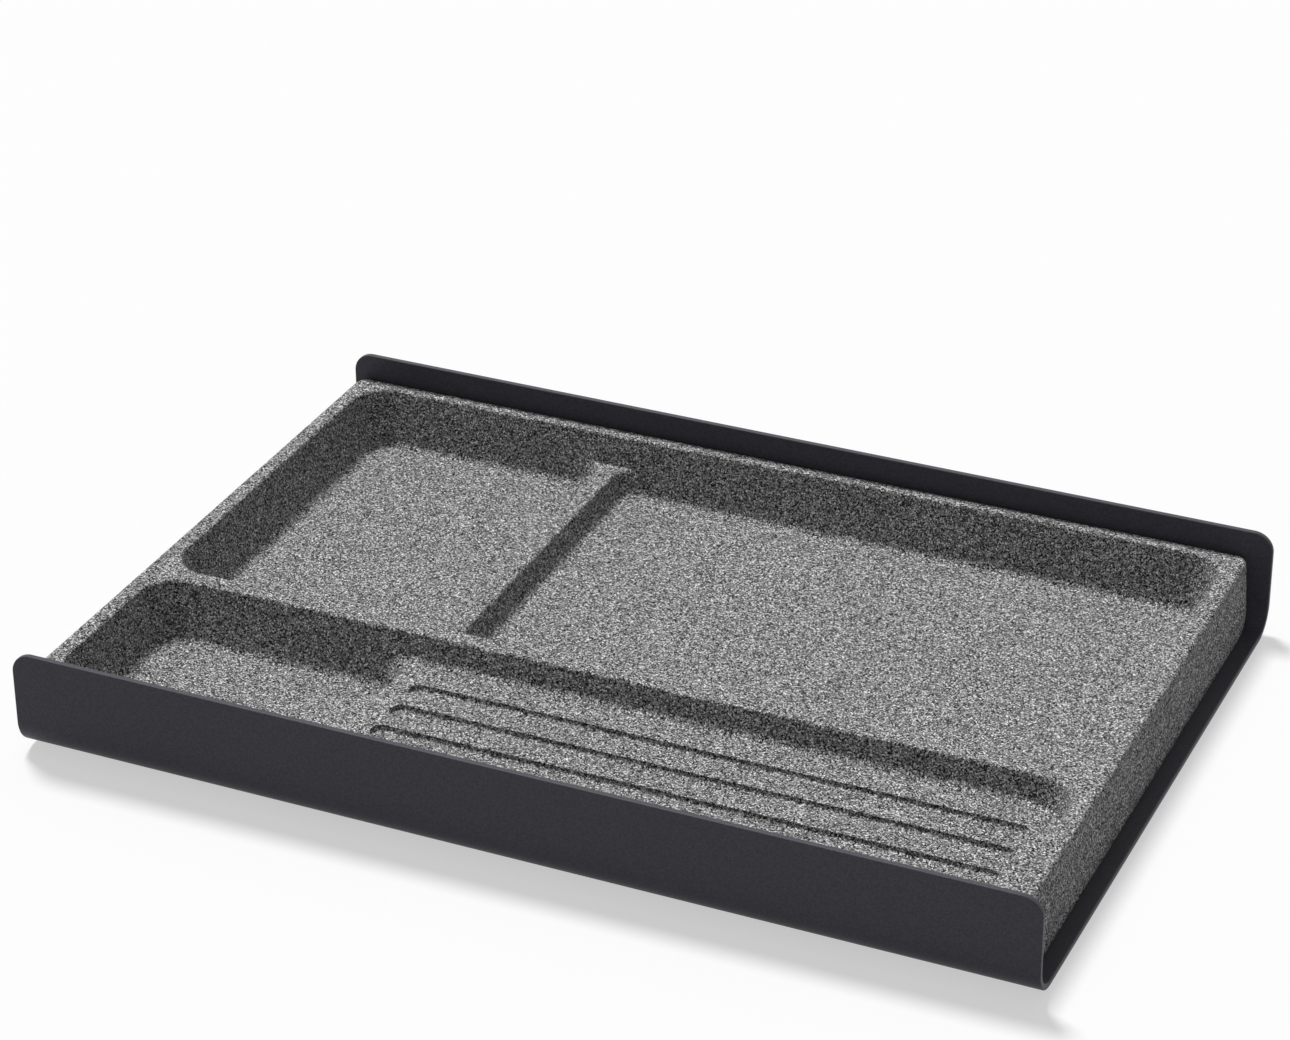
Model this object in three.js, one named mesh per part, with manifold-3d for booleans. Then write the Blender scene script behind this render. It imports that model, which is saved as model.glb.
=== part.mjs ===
// Desk tray: a folded sheet-metal shell with a moulded foam insert that lifts out.
// Millimetres, +Z up, +X along the tray, -Y towards the user.
// The origin is on the desk, under the middle of the shell.

import * as THREE from 'three';
import * as BufferGeometryUtils from 'three/addons/utils/BufferGeometryUtils.js';
import Module from 'manifold-3d';

// Sheet-metal shell
const sheet = 2.0; // thickness of the coated sheet
const shellDepth = 230.2; // outside of the front panel to outside of the back panel
const panelWidth = 338.5; // length of the base and of the front and back panels
const panelHeight = 35.3; // underside of the base to the top of the panels
const panelBend = 10.0; // outside radius of the two long bends
const panelTopCorner = 6.8; // rounded upper corners of the panels

// Rubber feet under the base
const footDiameter = 12.0;
const footHeight = 1.5;
const footEdge = 0.4; // rounded rim of the underside
const footInsetX = 24.0; // foot centre to the end of the base
const footInsetY = 24.0; // foot centre to the front or back of the base

// Foam insert, outside
const seatGap = 0.3; // foam to the sheet under it, in front of it and behind it
const leftMargin = 0.85; // left end of the base to the foot of the foam
const rightMargin = 5.65; // right end of the base to the foot of the foam
const insertHeight = 24.1; // underside to rim
const endDraft = THREE.MathUtils.degToRad(4); // lean of the two outer end walls
const insertCorner = 5.0; // rounded upright corners
const insertFootRound = panelBend - sheet - seatGap; // front and back lower edges, which follow the bends

// Foam insert, inside
const endRim = 5.8; // width of the rim at the two ends, measured between sharp edges
const sideRim = 5.1; // width of the rim along the front and the back
const ribWidth = 6.3; // full-height rib between the front pocket and the back pockets
const frontPocketWidth = 67.2; // front rim to that rib
const floorThickness = 5.7; // foam under the deep pockets
const wallSlope = THREE.MathUtils.degToRad(20); // lean of every pocket wall
const pocketCorner = 12.5; // corners of the pockets at the rim
const footFillet = 3.0; // fillet where a wall meets a floor
const lipRound = 1.2; // softened edge of the rim, the divider and the shelf
const dividerWidth = 6.7; // top of the low divider between the back pockets
const dividerDrop = 9.8; // rim down to the top of the divider
const leftPocketLength = 93.6; // left rim to the divider
const shelfSetback = 0.9; // the shelf starts this much to the right of the divider's left edge
const cornerFlare = 7.5; // fillet where the divider or the shelf runs into a long wall
const shelfDrop = 8.5; // rim down to the grooved shelf
const grooveCount = 3;
const groovePitch = 13.0;
const grooveRadius = 3.75; // for round barrels of 7 mm
const grooveDepth = 2.0;
const grooveLand = 7.0; // shelf edge to the left end of the grooves
const grooveEndLand = 10.0; // right rim to the right end of the grooves
const grooveShift = 2.0; // grooves lie this much towards the rib from the middle of the pocket

// Fineness of the curves
const cornerSteps = 12;
const bendSteps = 8;
const lipSteps = 4;
const filletSteps = 6;
const overcut = 2.0; // how far a cutting shape runs past the surface that it opens

const wasm = await Module();
wasm.setup();

function solidOf(geometry) {
  const bare = geometry.clone();
  bare.deleteAttribute('normal');
  bare.deleteAttribute('uv');
  const merged = BufferGeometryUtils.mergeVertices(bare, 1e-5);
  const mesh = new wasm.Mesh({
    numProp: 3,
    vertProperties: new Float32Array(merged.attributes.position.array),
    triVerts: new Uint32Array(merged.index.array),
  });
  return new wasm.Manifold(mesh);
}

function geometryOf(solid) {
  const mesh = solid.getMesh();
  const geometry = new THREE.BufferGeometry();
  geometry.setAttribute('position', new THREE.BufferAttribute(mesh.vertProperties, 3));
  geometry.setIndex(new THREE.BufferAttribute(mesh.triVerts, 1));
  geometry.computeVertexNormals();
  return geometry;
}

// Extrusions: an outline drawn in Y and Z runs along X, one drawn in X and Z runs along Y
const alongX = new THREE.Matrix4().makeBasis(
  new THREE.Vector3(0, 1, 0),
  new THREE.Vector3(0, 0, 1),
  new THREE.Vector3(1, 0, 0),
);
const alongY = new THREE.Matrix4().makeBasis(
  new THREE.Vector3(1, 0, 0),
  new THREE.Vector3(0, 0, 1),
  new THREE.Vector3(0, -1, 0),
);

function extrudeCentred(shape, length, orientation) {
  const geometry = new THREE.ExtrudeGeometry(shape, {
    depth: length,
    bevelEnabled: false,
    curveSegments: bendSteps,
  });
  geometry.translate(0, 0, -length / 2);
  geometry.applyMatrix4(orientation);
  return solidOf(geometry);
}

// Folded shell: base and two panels, all one sheet, open at both ends

// Front view of the panels, with their rounded upper corners
function panelOutline() {
  const half = panelWidth / 2;
  const centre = panelHeight - panelTopCorner;
  const shape = new THREE.Shape();
  shape.moveTo(-half, 0);
  shape.lineTo(half, 0);
  shape.lineTo(half, centre);
  shape.absarc(half - panelTopCorner, centre, panelTopCorner, 0, Math.PI / 2, false);
  shape.lineTo(-half + panelTopCorner, panelHeight);
  shape.absarc(-half + panelTopCorner, centre, panelTopCorner, Math.PI / 2, Math.PI, false);
  return shape;
}

// Section through the front panel, the base and the back panel
function channelSection() {
  const half = shellDepth / 2;
  const bend = half - panelBend;
  const shape = new THREE.Shape();
  shape.moveTo(-half, panelHeight);
  shape.lineTo(-half, panelBend);
  shape.absarc(-bend, panelBend, panelBend, Math.PI, Math.PI * 1.5, false);
  shape.lineTo(bend, 0);
  shape.absarc(bend, panelBend, panelBend, -Math.PI / 2, 0, false);
  shape.lineTo(half, panelHeight);
  shape.lineTo(half - sheet, panelHeight);
  shape.lineTo(half - sheet, panelBend);
  shape.absarc(bend, panelBend, panelBend - sheet, 0, -Math.PI / 2, true);
  shape.lineTo(-bend, sheet);
  shape.absarc(-bend, panelBend, panelBend - sheet, Math.PI * 1.5, Math.PI, true);
  shape.lineTo(-half + sheet, panelHeight);
  return shape;
}

function buildShell() {
  const channel = extrudeCentred(channelSection(), panelWidth, alongX);
  return channel.intersect(extrudeCentred(panelOutline(), shellDepth + 2 * overcut, alongY));
}

// Foam insert: a tapered block with two rows of pockets moulded into it

// Closed skin through stacked level outlines that all have the same number of points
function loft(sections) {
  const count = sections[0].points.length;
  const positions = [];
  for (const { z, points } of sections) {
    for (const p of points) {
      positions.push(p.x, p.y, z);
    }
  }
  const index = [];
  for (let level = 0; level + 1 < sections.length; level += 1) {
    for (let i = 0; i < count; i += 1) {
      const a = level * count + i;
      const b = level * count + ((i + 1) % count);
      index.push(a, b, b + count);
      index.push(a, b + count, a + count);
    }
  }
  const last = sections.length - 1;
  for (const [a, b, c] of THREE.ShapeUtils.triangulateShape(sections[0].points, [])) {
    index.push(c, b, a);
  }
  for (const [a, b, c] of THREE.ShapeUtils.triangulateShape(sections[last].points, [])) {
    index.push(last * count + a, last * count + b, last * count + c);
  }
  const rounded = positions.map((value) => Math.round(value * 1e4) / 1e4);
  const geometry = new THREE.BufferGeometry();
  geometry.setAttribute('position', new THREE.Float32BufferAttribute(rounded, 3));
  geometry.setIndex(index);
  return solidOf(geometry);
}

// Arc as points, both ends included
function arc(cx, cy, radius, from, to, steps) {
  const points = [];
  for (let i = 0; i <= steps; i += 1) {
    const angle = from + ((to - from) * i) / steps;
    points.push(new THREE.Vector2(cx + radius * Math.cos(angle), cy + radius * Math.sin(angle)));
  }
  return points;
}

function roundedRectangle(x0, x1, y0, y1, radius) {
  const quarter = Math.PI / 2;
  return [
    ...arc(x1 - radius, y0 + radius, radius, -quarter, 0, cornerSteps),
    ...arc(x1 - radius, y1 - radius, radius, 0, quarter, cornerSteps),
    ...arc(x0 + radius, y1 - radius, radius, quarter, 2 * quarter, cornerSteps),
    ...arc(x0 + radius, y0 + radius, radius, 2 * quarter, 3 * quarter, cornerSteps),
  ];
}

// A sloping wall, from its top edge down: rounded lip, straight slope, foot fillet
const wallTurn = Math.PI / 2 - wallSlope;
const lipLead = lipRound * Math.tan(wallTurn / 2);
const footLead = footFillet * Math.tan(wallTurn / 2);

function wallStations(height, extraDepths = []) {
  const stations = [];
  for (let i = 0; i <= lipSteps; i += 1) {
    const turn = (wallTurn * i) / lipSteps;
    stations.push({ depth: lipRound * (1 - Math.cos(turn)), run: lipRound * Math.sin(turn) - lipLead });
  }
  for (const depth of extraDepths) {
    stations.push({ depth, run: depth * Math.tan(wallSlope) });
  }
  const foot = height * Math.tan(wallSlope) + footLead;
  for (let i = filletSteps; i >= 0; i -= 1) {
    const turn = (wallTurn * i) / filletSteps;
    stations.push({ depth: height - footFillet * (1 - Math.cos(turn)), run: foot - footFillet * Math.sin(turn) });
  }
  return stations;
}

// How far a pocket wall has come in at a given depth under the rim
function wallRun(depth, height) {
  const filletTop = height - footFillet * (1 - Math.cos(wallTurn));
  if (depth <= filletTop) {
    return depth * Math.tan(wallSlope);
  }
  const drop = Math.min(depth - (height - footFillet), footFillet);
  return height * Math.tan(wallSlope) + footLead - Math.sqrt(footFillet ** 2 - drop ** 2);
}

const base = footHeight + sheet + seatGap;
const rim = base + insertHeight;
const deep = insertHeight - floorThickness;

const insertLeft = -panelWidth / 2 + leftMargin;
const insertRight = panelWidth / 2 - rightMargin;
const insertBack = shellDepth / 2 - sheet - seatGap;
const insertFront = -insertBack;

const draftRun = insertHeight * Math.tan(endDraft);
const pocketLeft = insertLeft + draftRun + endRim;
const pocketRight = insertRight - draftRun - endRim;
const frontPocket = { y0: insertFront + sideRim, y1: insertFront + sideRim + frontPocketWidth };
const backPocket = { y0: frontPocket.y1 + ribWidth, y1: insertBack - sideRim };
const dividerLeft = pocketLeft + leftPocketLength;
const shelfLeft = dividerLeft + shelfSetback;

function insertBlock() {
  const sections = [];
  const addSection = (height, endInset, sideInset) => {
    const draft = height * Math.tan(endDraft);
    const outline = roundedRectangle(
      insertLeft + draft + endInset,
      insertRight - draft - endInset,
      insertFront + sideInset,
      insertBack - sideInset,
      insertCorner - endInset,
    );
    sections.push({ z: base + height, points: outline });
  };
  for (let i = 0; i <= filletSteps; i += 1) {
    const turn = (Math.PI / 2) * (i / filletSteps);
    addSection(insertFootRound * (1 - Math.cos(turn)), 0, insertFootRound * (1 - Math.sin(turn)));
  }
  for (let i = lipSteps; i >= 0; i -= 1) {
    const turn = (Math.PI / 2) * (i / lipSteps);
    const inset = lipRound * (1 - Math.sin(turn));
    addSection(insertHeight - lipRound * (1 - Math.cos(turn)), inset, inset);
  }
  return loft(sections);
}

// Space of a pocket, from its floor up to a little over the rim
function pocketSpace({ y0, y1 }, depth, extraDepths = []) {
  const stations = wallStations(depth, extraDepths);
  stations.unshift({ depth: -overcut, run: stations[0].run });
  const sections = stations.map(({ depth: drop, run }) => ({
    z: rim - drop,
    points: roundedRectangle(
      pocketLeft + run,
      pocketRight - run,
      y0 + run,
      y1 - run,
      pocketCorner - run,
    ),
  }));
  return loft(sections.reverse());
}

// Foam left standing in a pocket: its sides slope like the walls and flare into them.
// With no right side it fills the pocket to the right.
function standingFoam({ y0, y1 }, left, right, topDrop, openTop) {
  const quarter = Math.PI / 2;
  const stations = wallStations(deep - topDrop);
  if (openTop) {
    stations.unshift({ depth: -overcut, run: stations[0].run });
  }
  stations.push({ depth: deep - topDrop + overcut, run: stations[stations.length - 1].run });
  const sections = stations.map(({ depth, run }) => {
    const wall = wallRun(topDrop + depth, deep);
    const front = y0 + wall;
    const back = y1 - wall;
    const flareFront = front + cornerFlare;
    const flareBack = back - cornerFlare;
    const leftFlare = left - run - cornerFlare;
    const points = [];
    if (right === null) {
      const end = pocketRight + overcut;
      points.push(new THREE.Vector2(end, front - overcut), new THREE.Vector2(end, back + overcut));
    } else {
      const rightFlare = right + run + cornerFlare;
      points.push(new THREE.Vector2(rightFlare, front - overcut));
      points.push(...arc(rightFlare, flareFront, cornerFlare, -quarter, -2 * quarter, bendSteps));
      points.push(...arc(rightFlare, flareBack, cornerFlare, 2 * quarter, quarter, bendSteps));
      points.push(new THREE.Vector2(rightFlare, back + overcut));
    }
    points.push(new THREE.Vector2(leftFlare, back + overcut));
    points.push(...arc(leftFlare, flareBack, cornerFlare, quarter, 0, bendSteps));
    points.push(...arc(leftFlare, flareFront, cornerFlare, 0, -quarter, bendSteps));
    points.push(new THREE.Vector2(leftFlare, front - overcut));
    return { z: rim - topDrop - depth, points };
  });
  return loft(sections.reverse());
}

// One groove: a round-ended trough sunk into the shelf
function grooveSpace(y) {
  const surface = Math.sqrt(grooveRadius ** 2 - (grooveRadius - grooveDepth) ** 2);
  const x0 = shelfLeft + grooveLand + surface;
  const x1 = pocketRight - grooveEndLand - surface;
  const trough = new THREE.CapsuleGeometry(grooveRadius, x1 - x0, 8, 20);
  trough.rotateZ(Math.PI / 2);
  trough.translate((x0 + x1) / 2, y, rim - shelfDrop + grooveRadius - grooveDepth);
  return solidOf(trough);
}

function buildInsert() {
  const divider = standingFoam(backPocket, dividerLeft, dividerLeft + dividerWidth, dividerDrop, false);
  const backSpace = pocketSpace(backPocket, deep).subtract(divider);

  const shelfLevel = shelfDrop - footFillet * (1 - Math.cos(wallTurn));
  const shelfFoam = standingFoam(frontPocket, shelfLeft, null, shelfDrop, true);
  const wellSpace = pocketSpace(frontPocket, deep, [shelfLevel]).subtract(shelfFoam);
  let frontSpace = wellSpace.add(pocketSpace(frontPocket, shelfDrop));
  const middle = (frontPocket.y0 + frontPocket.y1) / 2 + grooveShift;
  for (let i = 0; i < grooveCount; i += 1) {
    const y = middle + (i - (grooveCount - 1) / 2) * groovePitch;
    frontSpace = frontSpace.add(grooveSpace(y));
  }
  return insertBlock().subtract(backSpace).subtract(frontSpace);
}

// Rubber foot, turned about its own axis
function buildFoot() {
  const radius = footDiameter / 2;
  const profile = [new THREE.Vector2(0, 0), new THREE.Vector2(radius - footEdge, 0)];
  for (let i = 1; i <= lipSteps; i += 1) {
    const turn = (Math.PI / 2) * (i / lipSteps);
    profile.push(
      new THREE.Vector2(radius - footEdge + footEdge * Math.sin(turn), footEdge * (1 - Math.cos(turn))),
    );
  }
  profile.push(new THREE.Vector2(radius, footHeight), new THREE.Vector2(0, footHeight));
  const foot = new THREE.LatheGeometry(profile, 32);
  foot.rotateX(Math.PI / 2);
  return foot;
}

const coatedMetal = new THREE.MeshStandardMaterial({ color: 0x2c2b2f, roughness: 0.45, metalness: 0.1 });
const speckledFoam = new THREE.MeshStandardMaterial({ color: 0x6e6e70, roughness: 0.95, metalness: 0 });
const blackRubber = new THREE.MeshStandardMaterial({ color: 0x1b1b1c, roughness: 0.85, metalness: 0 });

function piece(name, geometry, material) {
  const mesh = new THREE.Mesh(geometry, material);
  mesh.name = name;
  return mesh;
}

const tray = new THREE.Group();

const shell = piece('folded_shell', geometryOf(buildShell()), coatedMetal);
shell.position.z = footHeight;
tray.add(shell);

tray.add(piece('foam_insert', geometryOf(buildInsert()), speckledFoam));

for (const [endName, xSide] of [['left', -1], ['right', 1]]) {
  for (const [sideName, ySide] of [['front', -1], ['back', 1]]) {
    const foot = piece(`foot_${sideName}_${endName}`, buildFoot(), blackRubber);
    foot.position.x = xSide * (panelWidth / 2 - footInsetX);
    foot.position.y = ySide * (shellDepth / 2 - footInsetY);
    tray.add(foot);
  }
}

export default tray;
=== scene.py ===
# Desk tray: a folded sheet-metal shell, a moulded foam insert and four rubber feet.
# Metres, +Z up, +X along the tray, -Y towards the user, as the frame has them.
import bpy
import bmesh
import math
from mathutils import Euler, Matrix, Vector


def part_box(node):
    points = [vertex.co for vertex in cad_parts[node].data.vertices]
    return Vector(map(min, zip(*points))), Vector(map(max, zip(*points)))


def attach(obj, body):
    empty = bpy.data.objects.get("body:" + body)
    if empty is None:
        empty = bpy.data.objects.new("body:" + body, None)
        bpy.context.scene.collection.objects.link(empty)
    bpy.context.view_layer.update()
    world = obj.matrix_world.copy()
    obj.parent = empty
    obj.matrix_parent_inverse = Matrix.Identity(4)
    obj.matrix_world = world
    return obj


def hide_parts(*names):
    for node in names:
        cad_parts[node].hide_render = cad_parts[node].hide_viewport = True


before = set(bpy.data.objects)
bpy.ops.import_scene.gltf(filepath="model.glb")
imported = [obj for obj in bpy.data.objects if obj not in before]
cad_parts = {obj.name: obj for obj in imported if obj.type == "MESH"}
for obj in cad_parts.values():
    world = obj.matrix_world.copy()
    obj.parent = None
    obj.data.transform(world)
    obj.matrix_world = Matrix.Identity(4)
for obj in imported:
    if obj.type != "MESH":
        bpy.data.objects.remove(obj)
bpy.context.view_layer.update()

MM = 0.001


# Camera, solved from the straight edges of the tray in the photograph
PHOTO_WIDTH = 1290
PHOTO_FOCAL_PIXELS = 3920.36
SENSOR_WIDTH = 36.0
CAMERA_PLACE = Vector((442.30, -987.90, 660.00)) * MM
CAMERA_TURN = Euler((1.06676, 0.00591, 0.42154), "XYZ")
NEAREST_SEEN = 50.0 * MM


def add_camera():
    data = bpy.data.cameras.new("photo_camera")
    data.sensor_fit = "HORIZONTAL"
    data.sensor_width = SENSOR_WIDTH
    data.lens = PHOTO_FOCAL_PIXELS * SENSOR_WIDTH / PHOTO_WIDTH
    data.clip_start = NEAREST_SEEN
    camera = bpy.data.objects.new("photo_camera", data)
    camera.location = CAMERA_PLACE
    camera.rotation_euler = CAMERA_TURN
    bpy.context.scene.collection.objects.link(camera)
    bpy.context.scene.camera = camera


# Studio: a pale table, an even surround and one lamp high behind the tray to its left
LAMP_DIRECTION = Vector((-0.42, 0.31, 1.0))
LAMP_STRENGTH = 2.95
LAMP_SPREAD = math.radians(14)
SURROUND_STRENGTH = 0.21
TABLE_SIZE = 6.0
TABLE_COLOUR = 0.93  # as the camera and the gloss of the coat see it
TABLE_BOUNCE = 0.55  # as it lights the tray
TABLE_GLOW = 0.53  # share of plain white in what is seen of it
WHITE = (1, 1, 1, 1)


def add_lamp():
    data = bpy.data.lights.new("back_lamp", "SUN")
    data.energy = LAMP_STRENGTH
    data.angle = LAMP_SPREAD
    lamp = bpy.data.objects.new("back_lamp", data)
    lamp.rotation_euler = LAMP_DIRECTION.to_track_quat("Z", "Y").to_euler()
    bpy.context.scene.collection.objects.link(lamp)


def seen_directly(nodes, links):
    path = nodes.new("ShaderNodeLightPath")
    either = nodes.new("ShaderNodeMath")
    either.operation = "MAXIMUM"
    links.new(path.outputs["Is Camera Ray"], either.inputs[0])
    links.new(path.outputs["Is Glossy Ray"], either.inputs[1])
    seen = nodes.new("ShaderNodeMath")
    seen.operation = "MAXIMUM"
    links.new(either.outputs["Value"], seen.inputs[0])
    links.new(path.outputs["Is Transmission Ray"], seen.inputs[1])
    return seen.outputs["Value"]


def add_surround():
    world = bpy.data.worlds.new("surround")
    bpy.context.scene.world = world
    world.use_nodes = True
    nodes = world.node_tree.nodes
    links = world.node_tree.links
    nodes.clear()
    lit = nodes.new("ShaderNodeBackground")
    lit.inputs["Color"].default_value = WHITE
    lit.inputs["Strength"].default_value = SURROUND_STRENGTH
    seen = nodes.new("ShaderNodeBackground")
    seen.inputs["Color"].default_value = WHITE
    seen.inputs["Strength"].default_value = 1.0
    mix = nodes.new("ShaderNodeMixShader")
    output = nodes.new("ShaderNodeOutputWorld")
    links.new(seen_directly(nodes, links), mix.inputs["Fac"])
    links.new(lit.outputs["Background"], mix.inputs[1])
    links.new(seen.outputs["Background"], mix.inputs[2])
    links.new(mix.outputs["Shader"], output.inputs["Surface"])


def pale_table():
    material = bpy.data.materials.new("pale_table")
    material.use_nodes = True
    nodes = material.node_tree.nodes
    links = material.node_tree.links
    nodes.clear()
    directly = seen_directly(nodes, links)
    colour = nodes.new("ShaderNodeMapRange")
    colour.inputs["To Min"].default_value = TABLE_BOUNCE
    colour.inputs["To Max"].default_value = TABLE_COLOUR
    links.new(directly, colour.inputs["Value"])
    matt = nodes.new("ShaderNodeBsdfDiffuse")
    links.new(colour.outputs["Result"], matt.inputs["Color"])
    glow = nodes.new("ShaderNodeEmission")
    glow.inputs["Color"].default_value = WHITE
    glow.inputs["Strength"].default_value = 1.0
    share = nodes.new("ShaderNodeMath")
    share.operation = "MULTIPLY"
    share.inputs[1].default_value = TABLE_GLOW
    links.new(directly, share.inputs[0])
    mix = nodes.new("ShaderNodeMixShader")
    output = nodes.new("ShaderNodeOutputMaterial")
    links.new(share.outputs["Value"], mix.inputs["Fac"])
    links.new(matt.outputs["BSDF"], mix.inputs[1])
    links.new(glow.outputs["Emission"], mix.inputs[2])
    links.new(mix.outputs["Shader"], output.inputs["Surface"])
    return material


def add_table():
    table = add_plane("table", TABLE_SIZE, TABLE_SIZE, 0)
    table.data.materials.append(pale_table())


# Finishes: each has a fine grain that gives both its tones and its relief
COAT_ROUGHNESS = 0.42
COAT_SHINE = 0.12
COAT_GRAIN = 1500.0
COAT_GRAIN_DETAIL = 3.0
COAT_DARK = (0.060, 0.057, 0.070, 1)
COAT_PALE = (0.088, 0.084, 0.101, 1)
COAT_RELIEF = 0.04 * MM

FOAM_ROUGHNESS = 0.95
FOAM_SHINE = 0.08
FOAM_GRAIN = 2600.0
FOAM_GREYS = ((0.0, 0.015), (0.2, 0.09), (0.42, 0.24), (0.72, 0.48), (0.91, 0.88))
FOAM_RELIEF = 0.1 * MM

RUBBER_ROUGHNESS = 0.8
RUBBER_GRAIN = 2500.0
RUBBER_DARK = (0.008, 0.008, 0.008, 1)
RUBBER_PALE = (0.02, 0.02, 0.02, 1)
RUBBER_RELIEF = 0.03 * MM


def new_finish(name, roughness):
    material = bpy.data.materials.new(name)
    material.use_nodes = True
    nodes = material.node_tree.nodes
    nodes["Principled BSDF"].inputs["Roughness"].default_value = roughness
    return material, nodes, material.node_tree.links


def add_grain(nodes, links, kind, scale):
    place = nodes.new("ShaderNodeTexCoord")
    grain = nodes.new(kind)
    grain.inputs["Scale"].default_value = scale
    links.new(place.outputs["Object"], grain.inputs["Vector"])
    return grain


# A new ramp already has two stops
def add_tones(nodes, links, value, stops):
    tones = nodes.new("ShaderNodeValToRGB")
    ramp = tones.color_ramp
    for stop, (position, colour) in zip(ramp.elements, stops):
        stop.position = position
        stop.color = colour
    for position, colour in stops[2:]:
        ramp.elements.new(position).color = colour
    links.new(value, tones.inputs["Fac"])
    links.new(tones.outputs["Color"], nodes["Principled BSDF"].inputs["Base Color"])
    return ramp


def add_relief(nodes, links, height, strength, distance):
    relief = nodes.new("ShaderNodeBump")
    relief.inputs["Strength"].default_value = strength
    relief.inputs["Distance"].default_value = distance
    links.new(height, relief.inputs["Height"])
    links.new(relief.outputs["Normal"], nodes["Principled BSDF"].inputs["Normal"])


def charcoal_powder_coat():
    material, nodes, links = new_finish("charcoal_powder_coat", COAT_ROUGHNESS)
    nodes["Principled BSDF"].inputs["Specular IOR Level"].default_value = COAT_SHINE
    grain = add_grain(nodes, links, "ShaderNodeTexNoise", COAT_GRAIN)
    grain.inputs["Detail"].default_value = COAT_GRAIN_DETAIL
    add_tones(nodes, links, grain.outputs["Fac"], [(0.3, COAT_DARK), (0.7, COAT_PALE)])
    add_relief(nodes, links, grain.outputs["Fac"], 0.25, COAT_RELIEF)
    return material


def speckled_foam():
    material, nodes, links = new_finish("speckled_foam", FOAM_ROUGHNESS)
    nodes["Principled BSDF"].inputs["Specular IOR Level"].default_value = FOAM_SHINE
    grains = add_grain(nodes, links, "ShaderNodeTexVoronoi", FOAM_GRAIN)
    channels = nodes.new("ShaderNodeSeparateColor")
    links.new(grains.outputs["Color"], channels.inputs["Color"])
    stops = [(position, (grey, grey, grey, 1)) for position, grey in FOAM_GREYS]
    ramp = add_tones(nodes, links, channels.outputs["Red"], stops)
    ramp.interpolation = "CONSTANT"
    add_relief(nodes, links, grains.outputs["Distance"], 0.5, FOAM_RELIEF)
    return material


def black_rubber():
    material, nodes, links = new_finish("black_rubber", RUBBER_ROUGHNESS)
    grain = add_grain(nodes, links, "ShaderNodeTexNoise", RUBBER_GRAIN)
    add_tones(nodes, links, grain.outputs["Fac"], [(0.0, RUBBER_DARK), (1.0, RUBBER_PALE)])
    add_relief(nodes, links, grain.outputs["Fac"], 0.3, RUBBER_RELIEF)
    return material


# Modelling helpers
TOLERANCE = 0.01 * MM
SMOOTH_ANGLE = math.radians(40)
FLAT_FACE_WEIGHT = 80


def add_plane(name, width, depth, level):
    bpy.ops.object.select_all(action="DESELECT")
    bpy.ops.mesh.primitive_plane_add(size=1, location=(0, 0, level))
    piece = bpy.context.object
    piece.name = name
    piece.scale = (width, depth, 1)
    bpy.ops.object.transform_apply(location=True, rotation=True, scale=True)
    return piece


def make_active(piece):
    bpy.ops.object.select_all(action="DESELECT")
    piece.select_set(True)
    bpy.context.view_layer.objects.active = piece


def open_piece(piece):
    make_active(piece)
    bpy.ops.object.mode_set(mode="EDIT")


def close_piece():
    bpy.ops.object.mode_set(mode="OBJECT")


def middle(part):
    if isinstance(part, bmesh.types.BMVert):
        return part.co
    total = Vector((0, 0, 0))
    for vertex in part.verts:
        total += vertex.co
    return total / len(part.verts)


# Select the parts of the open piece whose middle is where it is wanted
def pick(kind, wanted):
    bpy.ops.mesh.select_mode(type=kind)
    bpy.ops.mesh.select_all(action="DESELECT")
    mesh = bmesh.from_edit_mesh(bpy.context.object.data)
    parts = {"VERT": mesh.verts, "EDGE": mesh.edges, "FACE": mesh.faces}[kind]
    for part in parts:
        part.select = wanted(middle(part))
    mesh.select_flush_mode()
    bmesh.update_edit_mesh(bpy.context.object.data)


def near(value, target):
    return abs(value - target) < TOLERANCE


def add_modifier(piece, kind, **settings):
    modifier = piece.modifiers.new(kind.lower(), kind)
    for name, value in settings.items():
        setattr(modifier, name, value)
    bpy.context.view_layer.objects.active = piece
    bpy.ops.object.modifier_apply(modifier=modifier.name)


def finish_piece(piece, body, nodes, material):
    make_active(piece)
    bpy.ops.object.shade_smooth_by_angle(angle=SMOOTH_ANGLE)
    add_modifier(piece, "WEIGHTED_NORMAL", keep_sharp=True, weight=FLAT_FACE_WEIGHT)
    piece.data.materials.clear()
    piece.data.materials.append(material)
    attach(piece, body)
    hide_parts(*nodes)


# Folded shell, drawn as the outside of the sheet and then given its thickness
SHEET = 2.0 * MM
PANEL_BEND = 10.0 * MM
PANEL_TOP_CORNER = 6.8 * MM
SHEET_EDGE = 0.45 * MM
SHARP_EDGE = math.radians(50)  # only edges that turn more than this are rounded


def model_shell():
    low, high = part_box("folded_shell")
    underside = low[2]
    panel_top = high[2]
    panel_face = high[1]
    panel_end = high[0]
    shell = add_plane("shell", 2 * panel_end, 2 * panel_face, underside)
    open_piece(shell)

    # Fold up the front and back panels
    pick("EDGE", lambda at: near(abs(at.y), panel_face))
    bpy.ops.mesh.extrude_region_move(
        TRANSFORM_OT_translate={"value": (0, 0, panel_top - underside)})
    pick("EDGE", lambda at: near(abs(at.y), panel_face) and near(at.z, underside))
    bpy.ops.mesh.bevel(offset=PANEL_BEND, segments=16, affect="EDGES", clamp_overlap=False)

    # Round the upper corners of the panels
    pick("VERT", lambda at: near(abs(at.x), panel_end) and near(at.z, panel_top))
    bpy.ops.mesh.bevel(offset=PANEL_TOP_CORNER, segments=14, affect="VERTICES", clamp_overlap=False)
    close_piece()

    add_modifier(shell, "SOLIDIFY", thickness=SHEET, offset=1.0, use_even_offset=True)
    add_modifier(shell, "BEVEL", width=SHEET_EDGE, segments=3, limit_method="ANGLE",
                 angle_limit=SHARP_EDGE)
    return shell


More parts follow.
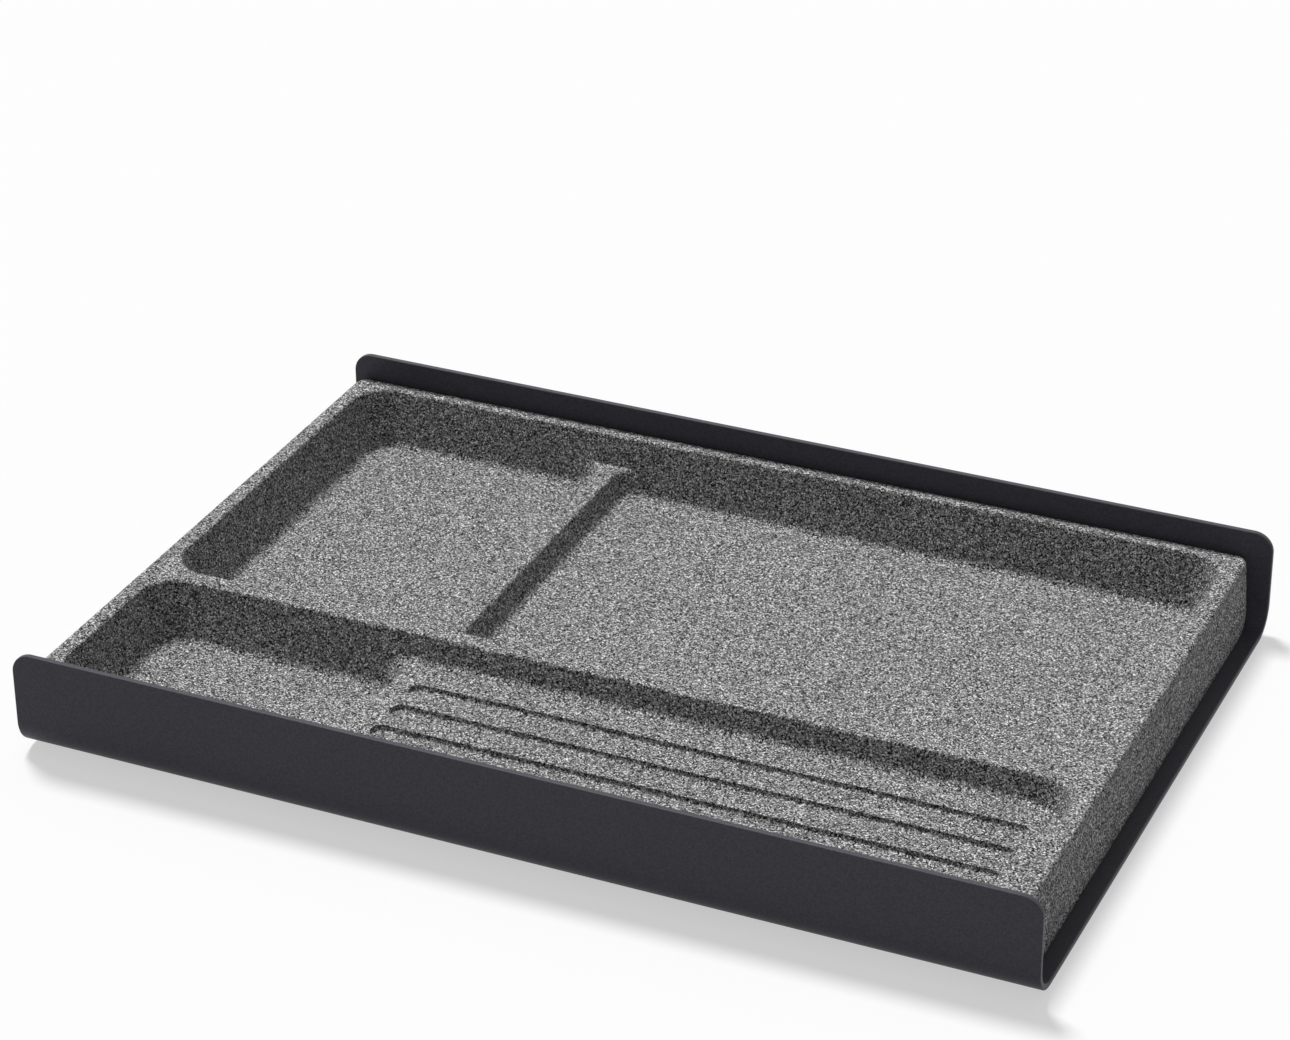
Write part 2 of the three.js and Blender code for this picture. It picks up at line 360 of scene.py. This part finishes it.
# Rubber feet, each with a rounded rim and a shallow dish in its underside
FOOT_RIM = 0.4 * MM
FOOT_DISH = 0.25 * MM
FOOT_DISH_SLOPE = 0.5 * MM  # width of the slope down into the dish
FOOT_DISH_RIM = 1.3 * MM


def model_foot(node):
    low, high = [Vector(corner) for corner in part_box(node)]
    centre = (low + high) / 2
    radius = (high.x - low.x) / 2
    bpy.ops.object.select_all(action="DESELECT")
    bpy.ops.mesh.primitive_cylinder_add(
        vertices=64, radius=radius, depth=high.z - low.z, location=centre)
    foot = bpy.context.object
    foot.name = node.replace("foot_", "rubber_foot_")
    bpy.ops.object.transform_apply(location=True, rotation=True, scale=True)
    open_piece(foot)
    pick("FACE", lambda at: near(at.z, low.z))
    bpy.ops.mesh.inset(thickness=FOOT_DISH_RIM, depth=0)
    bpy.ops.mesh.inset(thickness=FOOT_DISH_SLOPE, depth=-FOOT_DISH)
    pick("EDGE", lambda at: near(at.z, low.z) and near((at - centre).xy.length, radius))
    bpy.ops.mesh.bevel(offset=FOOT_RIM, segments=4, affect="EDGES")
    close_piece()
    return foot


# Foam insert: a merged copy of the part's moulding, with crisper grooves cut into its shelf
MERGE_DISTANCE = 0.002 * MM
FLAT_ANGLE = math.radians(0.05)  # faces that turn less than this become one
SHELF_LEVEL = 19.4 * MM
GROOVE_LEFT = -59.5 * MM
GROOVE_RIGHT = 146.1 * MM
GROOVE_FRONT = -85.1 * MM
GROOVE_PITCH = 13.0 * MM
GROOVE_COUNT = 3
GROOVE_WIDTH = 7.0 * MM
GROOVE_DEPTH = 1.7 * MM
GROOVE_FILLET = 1.3 * MM
GROOVE_END_RADIUS = 0.499 * GROOVE_WIDTH  # a little under half, so that a flat stays between
ROUND_GROOVE_MARGIN = 1.0 * MM
ROUND_GROOVE_BOTTOM = SHELF_LEVEL - 3.0 * MM
ROUND_GROOVE_TOP = SHELF_LEVEL - 0.02 * MM


def in_round_groove(at):
    groove_middle = GROOVE_FRONT + GROOVE_PITCH
    return (GROOVE_LEFT - ROUND_GROOVE_MARGIN < at.x < GROOVE_RIGHT + ROUND_GROOVE_MARGIN
            and abs(at.y - groove_middle) < 2 * GROOVE_PITCH
            and ROUND_GROOVE_BOTTOM < at.z < ROUND_GROOVE_TOP)


def fill_round_grooves(insert):
    open_piece(insert)
    pick("FACE", in_round_groove)
    bpy.ops.mesh.delete(type="FACE")
    bpy.ops.mesh.select_all(action="SELECT")
    bpy.ops.mesh.fill_holes(sides=0)
    close_piece()


def model_groove_cutter(centre_y):
    length = GROOVE_RIGHT - GROOVE_LEFT
    centre_x = (GROOVE_LEFT + GROOVE_RIGHT) / 2
    bpy.ops.object.select_all(action="DESELECT")
    bpy.ops.mesh.primitive_cube_add(size=1, location=(centre_x, centre_y, SHELF_LEVEL))
    cutter = bpy.context.object
    cutter.scale = (length, GROOVE_WIDTH, 2 * GROOVE_DEPTH)
    bpy.ops.object.transform_apply(location=True, rotation=True, scale=True)
    open_piece(cutter)
    pick("EDGE", lambda at: near(at.z, SHELF_LEVEL))
    bpy.ops.mesh.bevel(offset=GROOVE_END_RADIUS, segments=14, affect="EDGES")
    pick("EDGE", lambda at: near(at.z, SHELF_LEVEL - GROOVE_DEPTH))
    bpy.ops.mesh.bevel(offset=GROOVE_FILLET, segments=6, affect="EDGES")
    close_piece()
    return cutter


def model_insert():
    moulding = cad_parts["foam_insert"]
    insert = bpy.data.objects.new("insert", moulding.data.copy())
    insert.matrix_world = moulding.matrix_world
    bpy.context.scene.collection.objects.link(insert)
    open_piece(insert)
    bpy.ops.mesh.select_all(action="SELECT")
    bpy.ops.mesh.remove_doubles(threshold=MERGE_DISTANCE)
    close_piece()
    bpy.ops.object.transform_apply(location=True, rotation=True, scale=True)
    fill_round_grooves(insert)

    for index in range(GROOVE_COUNT):
        cutter = model_groove_cutter(GROOVE_FRONT + index * GROOVE_PITCH)
        add_modifier(insert, "BOOLEAN", operation="DIFFERENCE", solver="EXACT", object=cutter)
        bpy.data.objects.remove(cutter)

    open_piece(insert)
    bpy.ops.mesh.select_all(action="SELECT")
    bpy.ops.mesh.remove_doubles(threshold=MERGE_DISTANCE)
    bpy.ops.mesh.dissolve_limited(angle_limit=FLAT_ANGLE)
    bpy.ops.mesh.quads_convert_to_tris()
    close_piece()
    return insert


add_camera()
add_lamp()
add_surround()
add_table()
bpy.context.scene.view_settings.view_transform = "Standard"

coat = charcoal_powder_coat()
foam = speckled_foam()
rubber = black_rubber()

finish_piece(model_shell(), "shell", ["folded_shell"], coat)
finish_piece(model_insert(), "insert", ["foam_insert"], foam)
for foot_node in ("foot_front_left", "foot_front_right", "foot_back_left", "foot_back_right"):
    finish_piece(model_foot(foot_node), "shell", [foot_node], rubber)
